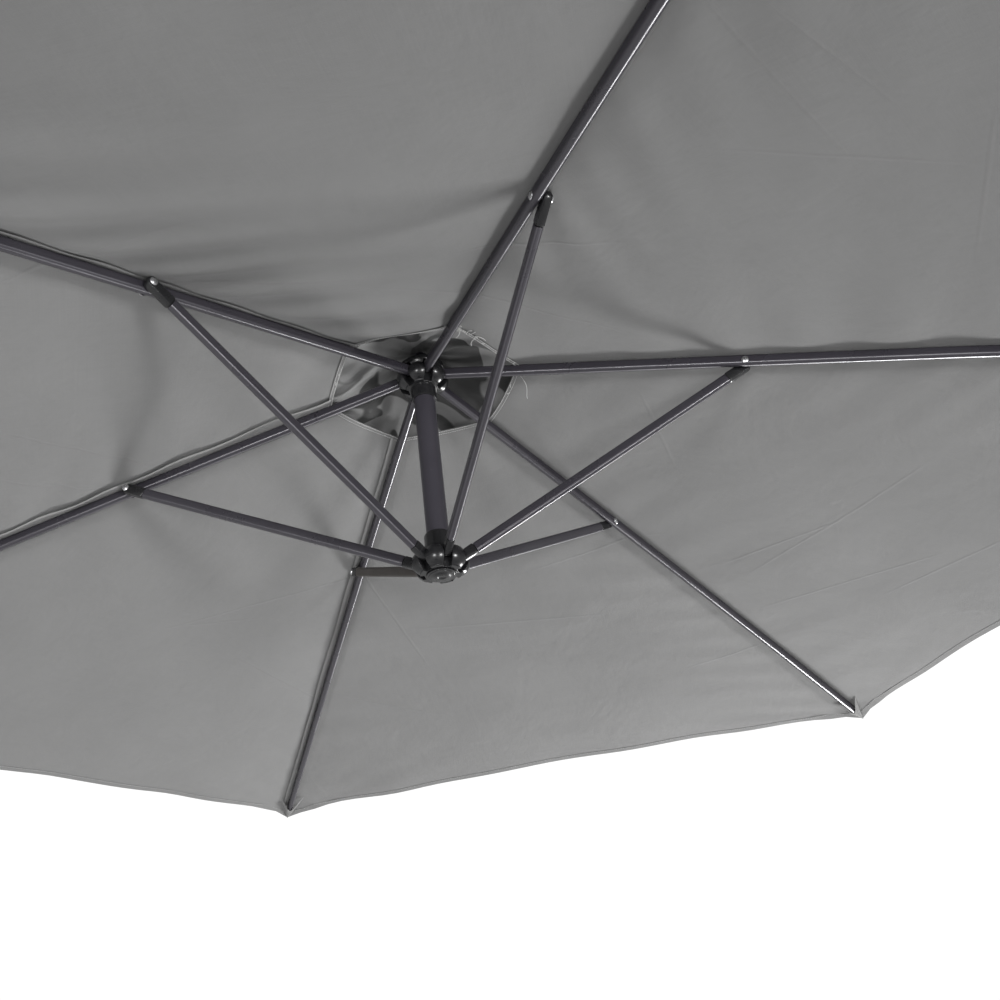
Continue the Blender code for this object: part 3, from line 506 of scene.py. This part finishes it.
def gore_point(k, u, r, lift=0.0):
    """Point on the cloth between rib k and rib k + 1. r is the radius along the ribs."""
    e0, _ = axes(AZ[k % 6])
    e1, _ = axes(AZ[k % 6] + 60.0)
    bow = 4 * u * (1 - u)
    pull = 0.036 * bow * max(0.0, (r - 0.75) / (R_HEM - 0.75)) ** 2
    vent = max(0.0, 1 - (r - R_VENT) / 0.12)
    s = r - pull + 0.0050 * bow * vent * vent * (3 - 2 * vent)
    p = (e0 * (1 - u) + e1 * u) * s
    z = cover_z(r)
    # tight over the ribs, a shallow belly between them
    belly = 0.010 * bow * math.sin(math.pi * min(1.0, max(0.0, (r - R_VENT) / (R_HEM - R_VENT)))) ** 0.8
    z -= belly
    z += 0.002 * bow * (r / R_HEM)
    # wrinkles: along the ribs, from the tips and from the vent corners
    d0, d1 = r * u * 0.866, r * (1 - u) * 0.866
    edge = min(1.0, min(d0, d1) / 0.02)
    x = p.x * 1.0
    y = p.y * 1.0
    near0 = math.exp(-d0 / 0.105)
    near1 = math.exp(-d1 / 0.13)
    amp0 = 0.0016
    amp1 = 0.0016
    if k % 6 == 2:                      # near gore, beside rib 3
        amp0 = 0.0092
    if k % 6 == 1:                      # gore between ribs 2 and 3
        amp0 = 0.0054
        amp1 = 0.0022
    if k % 6 == 3:
        amp0 = 0.0034
        amp1 = 0.0032
    if k % 6 == 4:
        amp0 = 0.0026
    wav0 = math.sin(2 * math.pi * (r * 8.5 + 1.2 * nz(r * 2.2, k * 7.1, 0.3)) + d0 * 22.0)
    wav1 = math.sin(2 * math.pi * (r * 7.3 + 1.2 * nz(r * 2.0, k * 3.7, 4.3)) - d1 * 20.0)
    env0 = 0.35 + 0.65 * max(0.0, nz(r * 1.9 + k, 2.0, 1.0) + 0.45)
    env1 = 0.35 + 0.65 * max(0.0, nz(r * 1.7 + k, 5.0, 2.0) + 0.45)
    g0 = near0 * (1 - math.exp(-(d0 / 0.040) ** 2))
    g1 = near1 * (1 - math.exp(-(d1 / 0.040) ** 2))
    z -= amp0 * (wav0 + 0.25) * g0 * env0 * 2.0
    z -= amp1 * (wav1 + 0.25) * g1 * env1 * 2.0
    # broad soft undulation
    z += edge * 0.0042 * nz(x * 2.6 + 3.0, y * 2.6, k * 1.7)
    z += edge * 0.0016 * nz(x * 8.0, y * 8.0, k * 2.3 + 9.0)
    # fan folds out of the tip pockets
    for dd, uu in ((d0, u), (d1, 1 - u)):
        t = max(0.0, 1 - (R_HEM - r) / 0.45)
        ang = math.atan2(dd, max(1e-4, R_HEM - r + 0.02))
        z += 0.0022 * t * math.sin(ang * 14.0) * math.exp(-dd / 0.22) * (1 - math.exp(-dd / 0.02))
    # the corner past the rib's end droops
    z -= 0.014 * math.exp(-min(d0, d1) / 0.034) * max(0.0, (r - RT - 0.004) / (R_HEM - RT))
    # hem curls very slightly
    z += 0.0012 * math.sin(u * 31.0 + k) * max(0.0, (r - 1.40) / 0.106) * edge
    return C + p + ZV * (z + lift)


NU, NR = 40, 84
radii = [R_VENT + (R_HEM - R_VENT) * (i / NR) for i in range(NR + 1)]


def gore_uv(k, u, r):
    return ((u - 0.5) * r + 2.0 * k, r)


verts, faces, uvs, ws = [], [], [], []
ring_n = 6 * NU
for i, r in enumerate(radii):
    for k in range(6):
        for j in range(NU):
            u = j / NU
            verts.append(gore_point(k, u, r))
            uvs.append(gore_uv(k, u, r))
            ws.append(wt(k, u))
for i in range(NR):
    for j in range(ring_n):
        jj = (j + 1) % ring_n
        faces.append((i * ring_n + jj, i * ring_n + j, (i + 1) * ring_n + j, (i + 1) * ring_n + jj))
canopy = make("canopy_cloth", verts, faces, M_CLOTH, uvs, ws)
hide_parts("canopy")


def strip(name, pts_a, pts_b, wts, material, closed=False, uvscale=1.0, body="head"):
    """A band between two point rows."""
    n = len(pts_a)
    vs = list(pts_a) + list(pts_b)
    fs = []
    m = n if closed else n - 1
    for i in range(m):
        j = (i + 1) % n
        fs.append((i, j, n + j, n + i))
    s = 0.0
    uv = []
    for i in range(n):
        if i:
            s += (Vector(pts_a[i]) - Vector(pts_a[i - 1])).length
        uv.append((s, 0.0))
    uv += [(a, (Vector(pts_a[i]) - Vector(pts_b[i])).length) for i, (a, _) in enumerate(uv)]
    return make(name, vs, fs, material, uv, list(wts) + list(wts), body=body)


# outer hem: folded band under the cloth
pa, pb, pc, ww = [], [], [], []
for k in range(6):
    for j in range(NU):
        u = j / NU
        pa.append(gore_point(k, u, R_HEM, -0.0006) + Vector((0, 0, -0.0004)))
        pb.append(gore_point(k, u, R_HEM - 0.0190, -0.0007))
        ww.append(wt(k, u))
hem = strip("outer_hem", pa, pb, ww, M_HEM, True)

# vent hem: a narrow turned edge
pa, pb, ww = [], [], []
for k in range(6):
    for j in range(NU):
        u = j / NU
        pa.append(gore_point(k, u, R_VENT, -0.0012) + Vector((0, 0, -0.0002)))
        pb.append(gore_point(k, u, R_VENT + 0.0085, -0.0013))
        ww.append(wt(k, u))
vhem = strip("vent_hem", pa, pb, ww, M_HEM, True)


def thread_tube(name, paths, radius, material, wlists, sides=5, body="head"):
    """Thin tubes along point lists, joined in one mesh."""
    vs, fs, wl = [], [], []
    for pts, wpts in zip(paths, wlists):
        base = len(vs)
        n = len(pts)
        for i, p in enumerate(pts):
            a = Vector(pts[max(0, i - 1)])
            b = Vector(pts[min(n - 1, i + 1)])
            d = (b - a).normalized() if (b - a).length > 1e-9 else ZV
            s = d.cross(ZV)
            s = s.normalized() if s.length > 1e-4 else Vector((1, 0, 0))
            q = s.cross(d).normalized()
            for j in range(sides):
                ang = 2 * math.pi * j / sides
                vs.append(Vector(p) + s * (radius * math.cos(ang)) + q * (radius * math.sin(ang)))
                wl.append(wpts[i] if wpts else None)
        for i in range(n - 1):
            for j in range(sides):
                jj = (j + 1) % sides
                fs.append((base + i * sides + j, base + i * sides + jj,
                           base + (i + 1) * sides + jj, base + (i + 1) * sides + j))
        fs.append(tuple(base + j for j in reversed(range(sides))))
        fs.append(tuple(base + (n - 1) * sides + j for j in range(sides)))
    return make(name, vs, fs, material, None, wl if wlists[0] else None, body=body)


def stitch_rows(name, rfun, step=0.0065, fill=0.62, rad=0.00035, lift=-0.0018):
    """Running stitches round the cloth at radius rfun, the same on every gore."""
    paths, wls = [], []
    for k in range(6):
        r = rfun
        length = r
        n = max(4, int(length / step))
        for i in range(n):
            u0, u1 = (i + 0.5 - fill / 2) / n, (i + 0.5 + fill / 2) / n
            pts = [gore_point(k, u0, r, lift + 0.0010), gore_point(k, (u0 + u1) / 2, r, lift),
                   gore_point(k, u1, r, lift + 0.0010)]
            paths.append(pts)
            wls.append([wt(k, u0), wt(k, (u0 + u1) / 2), wt(k, u1)])
    return thread_tube(name, paths, rad, M_THREAD, wls, 4)


st1 = stitch_rows("vent_stitches_a", R_VENT + 0.0012, 0.0042, 0.84, 0.00050, -0.0020)
st2 = stitch_rows("vent_stitches_b", R_VENT + 0.0072, 0.0042, 0.78, 0.00042, -0.0020)
st3 = stitch_rows("hem_stitches", R_HEM - 0.0165, 0.0060, 0.65, 0.00026, -0.0014)


# seam allowance beside each rib, with a slightly wavy raw edge
def seam(k):
    e, t = axes(AZ[k])
    rows = []
    ss = [R_VENT + 0.004 + (R_HEM - 0.055 - R_VENT) * i / 150 for i in range(151)]
    va, vb, vc, w = [], [], [], []
    rnd = np.random.RandomState(40 + k)
    for i, r in enumerate(ss):
        # position across the gore for a given distance from the rib
        def at(dist, drop):
            u = min(0.5, dist / (r * 0.866))
            return gore_point(k, u, r, -drop)
        wave = 0.5 + 0.5 * nz(r * 9.0, k * 3.3, 7.0)
        wave2 = nz(r * 34.0, k * 5.3, 2.0)
        width = (0.0240 if k == 1 else 0.0130 if k == 0 else 0.0085) + 0.0028 * nz(r * 6.0, k * 1.9, 3.0) + 0.0007 * wave2
        drop = 0.0014 + (0.0062 if k == 1 else 0.0030 if k == 0 else 0.0008) * wave
        va.append(at(0.0055, 0.0010))
        vb.append(at(0.0055 + width * 0.55, 0.0012 + drop * 0.45))
        vc.append(at(0.0055 + width, 0.0012 + drop + 0.0006 * wave2))
        w.append(wt(k, min(0.5, 0.012 / (r * 0.866))))
    n = len(ss)
    vs = va + vb + vc
    fs = []
    for row in range(2):
        for i in range(n - 1):
            a = row * n + i
            fs.append((a, a + 1, a + 1 + n, a + n))
    uv = [(r, 0.0) for r in ss] + [(r, 0.008) for r in ss] + [(r, 0.016) for r in ss]
    ob = make("seam_allowance_%d" % (k + 1), vs, fs, M_SEAM_PAINTED_HIGHLIGHT, uv, w * 3)
    return ob


seams = [seam(k) for k in range(6)]


# frayed ends and loose threads at the vent hem
def threads():
    rnd = np.random.RandomState(5)
    paths, wls = [], []
    spots = [(k, u, rnd.uniform(0.003, 0.008)) for k in range(6) for u in rnd.uniform(0.0, 1.0, 2)]
    spots += [(3, rnd.uniform(0.02, 0.34), rnd.uniform(0.008, 0.021)) for _ in range(12)]
    spots += [(3, rnd.uniform(0.70, 0.95), rnd.uniform(0.004, 0.010)) for _ in range(4)]
    for k, u, ln in spots:
        p = gore_point(k, u, R_VENT + rnd.uniform(0.0, 0.007), -0.0018)
        a0 = rnd.uniform(0, 2 * math.pi)
        curl = rnd.uniform(-3.2, 3.2)
        pts = []
        q = Vector(p)
        for i in range(9):
            s = i / 8.0
            pts.append(Vector(q))
            a = a0 + curl * s
            q += Vector((math.cos(a), math.sin(a), -0.25 - 0.35 * s)) * (ln / 8.0)
        paths.append(pts)
        wls.append([wt(k, u)] * 9)
    # one long thread hanging by rib 5
    p = gore_point(4, 0.10, R_VENT + 0.004, -0.0018)
    pts = []
    for i in range(22):
        s = i / 21.0
        pts.append(p + Vector((0.010 * math.sin(s * 3.1) + 0.010 * s, -0.015 * s - 0.005 * math.sin(s * 4.4),
                               -0.050 * s ** 1.15)))
    paths.append(pts)
    wls.append([wt(4, 0.10)] * 22)
    return thread_tube("loose_threads", paths, 0.00042, M_THREAD, wls, 5)


loose = threads()


# rib-tip pockets: the cloth corner turned under and sewn, with the rib end inside
def pocket(k):
    e, t = axes(AZ[k])
    vs, fs, uv = [], [], []
    na, nb = 20, 10
    half = 0.031
    r_in = RT - 0.004
    tip = gore_point(k, 0.0, R_HEM + 0.0006, -0.0026)
    for j in range(nb + 1):
        b = j / nb
        for i in range(na + 1):
            a = -1 + 2 * i / na
            x = a * half
            rr = r_in - 0.026 * abs(a) ** 1.2
            if a >= 0:
                top = gore_point(k, x / (rr * 0.866), rr, -0.0022)
            else:
                top = gore_point(k - 1, 1 + x / (rr * 0.866), rr, -0.0022)
            under = rib_z(rr) - RIB_H / 2 - 0.0016 - (cover_z(rr) - 0.0022)
            f = max(0.0, (abs(x) - 0.0088) / (half - 0.0088))
            sag = under * (1 - f) ** 1.25
            p = top + ZV * sag
            q = p * (1 - b) + tip * b
            q += ZV * (-0.0030 * math.sin(math.pi * min(1.0, b * 1.25)) * (1 - abs(a)) * (1 - b))
            q += ZV * (0.0009 * math.sin(a * 9.0 + k) * math.sin(math.pi * b))
            vs.append(q)
            uv.append((x * (1 - b), b * 0.046))
    m = na + 1
    for j in range(nb):
        for i in range(na):
            fs.append((j * m + i, j * m + i + 1, (j + 1) * m + i + 1, (j + 1) * m + i))
    ob = make("tip_pocket_%d" % (k + 1), vs, fs, M_POCKET, uv, None, body="rib_arm_%d" % (k + 1))
    return ob


pockets = [pocket(k) for k in range(6)]

# ---------------------------------------------------------------- vent cap with soft folds
verts, faces, uvs, ws = [], [], [], []
VN, VU = 34, 22
vn = 6 * VU
for i in range(VN + 1):
    s = i / VN
    r = VR0 + (VR1 - VR0) * s
    for k in range(6):
        e0, _ = axes(AZ[k])
        e1, _ = axes(AZ[k] + 60.0)
        for j in range(VU):
            u = j / VU
            bow = 4 * u * (1 - u)
            p = (e0 * (1 - u) + e1 * u) * (r * (1 - 0.05 * bow * s))
            z = VZ0 + (VZ1 - VZ0) * s
            a = math.atan2(p.y, p.x)
            z += 0.0030 * bow * s
            ca_, sa_ = math.cos(a), math.sin(a)
            z += 0.0100 * s * (1 - s) * 4 * nz(ca_ * 2.0 + 5.0, sa_ * 2.0, s * 2.2)
            fold = nz(ca_ * 3.1, sa_ * 3.1 + 2.0, s * 1.6 + 3.0)
            z += 0.0150 * s * (1.2 - s) * math.copysign(abs(fold) ** 0.5, fold)
            fold = nz(p.x * 15 + 4.0, p.y * 15, 6.0)
            z += 0.0060 * s * math.copysign(abs(fold) ** 0.55, fold)
            z += 0.0026 * math.sin(a * 9 + 2.6 * nz(s * 3, ca_, sa_)) * s * (1 - 0.35 * s)
            z += 0.0020 * nz(p.x * 24, p.y * 24, 3.0) * s
            verts.append(C + p + ZV * z)
            uvs.append((u * r + 0.4 * k, r))
            hw = 1 - s * s * (3 - 2 * s)
            ws.append(wt(k, u, hw))
for i in range(VN):
    for j in range(vn):
        jj = (j + 1) % vn
        faces.append((i * vn + jj, i * vn + j, (i + 1) * vn + j, (i + 1) * vn + jj))
vent = make("vent_cloth", verts, faces, M_VENT, uvs, ws)
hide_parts("vent_cap")
# a second sheet 1.2 mm under the vent cap, carrying the painted light and painted shade of the vent cloth
vent_sheet_painted = make("vent_lining", [v - ZV * 0.0012 for v in verts], faces, M_VENT_PAINTED_LIGHT_AND_SHADE, uvs, ws)


# ---------------------------------------------------------------- floor, light, camera
me = bpy.data.meshes.new("floor")
me.from_pydata([(-30, -30, -0.0005), (30, -30, -0.0005), (30, 30, -0.0005), (-30, 30, -0.0005)], [], [(0, 1, 2, 3)])
floor = bpy.data.objects.new("floor", me)
COL.objects.link(floor)
_m, _t, _b = new_mat("floor_paint")
_f = _t.noise(coords(_t), 1.2, 4.0)
_t.put(_b.inputs["Base Color"], _t.mix(_f, (0.80, 0.80, 0.80), (0.84, 0.84, 0.84)))
_b.inputs["Roughness"].default_value = 0.8
me.materials.append(_m)

w = bpy.data.worlds.new("world")
bpy.context.scene.world = w
w.use_nodes = True
wt_ = NT(w.node_tree)
bg = w.node_tree.nodes["Background"]
bg.inputs["Color"].default_value = (1, 1, 1, 1)
lp = wt_.n("ShaderNodeLightPath")
wt_.put(bg.inputs["Strength"], wt_.ramp(lp.outputs["Is Camera Ray"], 0.0, 1.0, 0.56, 1.05))


# the aimed lights light the parasol, and not the floor
off_floor = bpy.data.collections.new("off_floor")
off_floor.objects.link(floor)
off_floor.collection_objects[0].light_linking.link_state = "EXCLUDE"


def area(name, loc, target, size, power, color=(1, 1, 1), aimed=True):
    l = bpy.data.lights.new(name, "AREA")
    l.shape = "RECTANGLE"
    l.size, l.size_y = size
    l.energy = power
    l.color = color
    o = bpy.data.objects.new(name, l)
    COL.objects.link(o)
    o.location = loc
    o.rotation_mode = "QUATERNION"
    o.rotation_quaternion = (Vector(target) - Vector(loc)).to_track_quat("-Z", "Y")
    o.visible_camera = False
    if aimed:
        o.light_linking.receiver_collection = off_floor
    return o


area("left_low", (-1.84, -3.48, 0.86), (1.6, 0.0, 2.1), (0.8, 0.8), 168)
area("back_low", (-3.26, 0.50, 0.94), (1.6, 0.0, 2.1), (0.8, 0.8), 104)
area("front_low", (4.8, -1.2, 0.35), (1.6, 0.0, 2.1), (0.9, 0.9), 146)
area("top", (0.4, 1.0, 5.4), (1.0, 0.0, 1.0), (5.0, 5.0), 190, aimed=False)

cam = bpy.data.cameras.new("camera")
cam.sensor_fit = "AUTO"
cam.sensor_width = 36.0
cam.lens = 36.0 * 1.0565890
cam.clip_start, cam.clip_end = 0.02, 100.0
co = bpy.data.objects.new("camera", cam)
COL.objects.link(co)
rot = Matrix.Rotation(math.radians(210.0), 3, "Z")
pos = rot @ Vector((1.39132554, -0.45747523, -1.09007896))
right = rot @ Vector((0.31425186, 0.94217832, -0.11638637))
down = rot @ Vector((-0.50435925, 0.06182999, -0.86127742))
fwd = rot @ Vector((-0.80428074, 0.32935857, 0.49462654))
m4 = Matrix((
    (right.x, -down.x, -fwd.x, C.x + pos.x),
    (right.y, -down.y, -fwd.y, C.y + pos.y),
    (right.z, -down.z, -fwd.z, C.z + pos.z),
    (0, 0, 0, 1)))
co.matrix_world = m4
bpy.context.scene.camera = co
sc = bpy.context.scene
sc.view_settings.view_transform = "Standard"
sc.view_settings.look = "None"
sc.view_settings.exposure = 0.0
sc.view_settings.gamma = 1.0

bpy.context.view_layer.update()
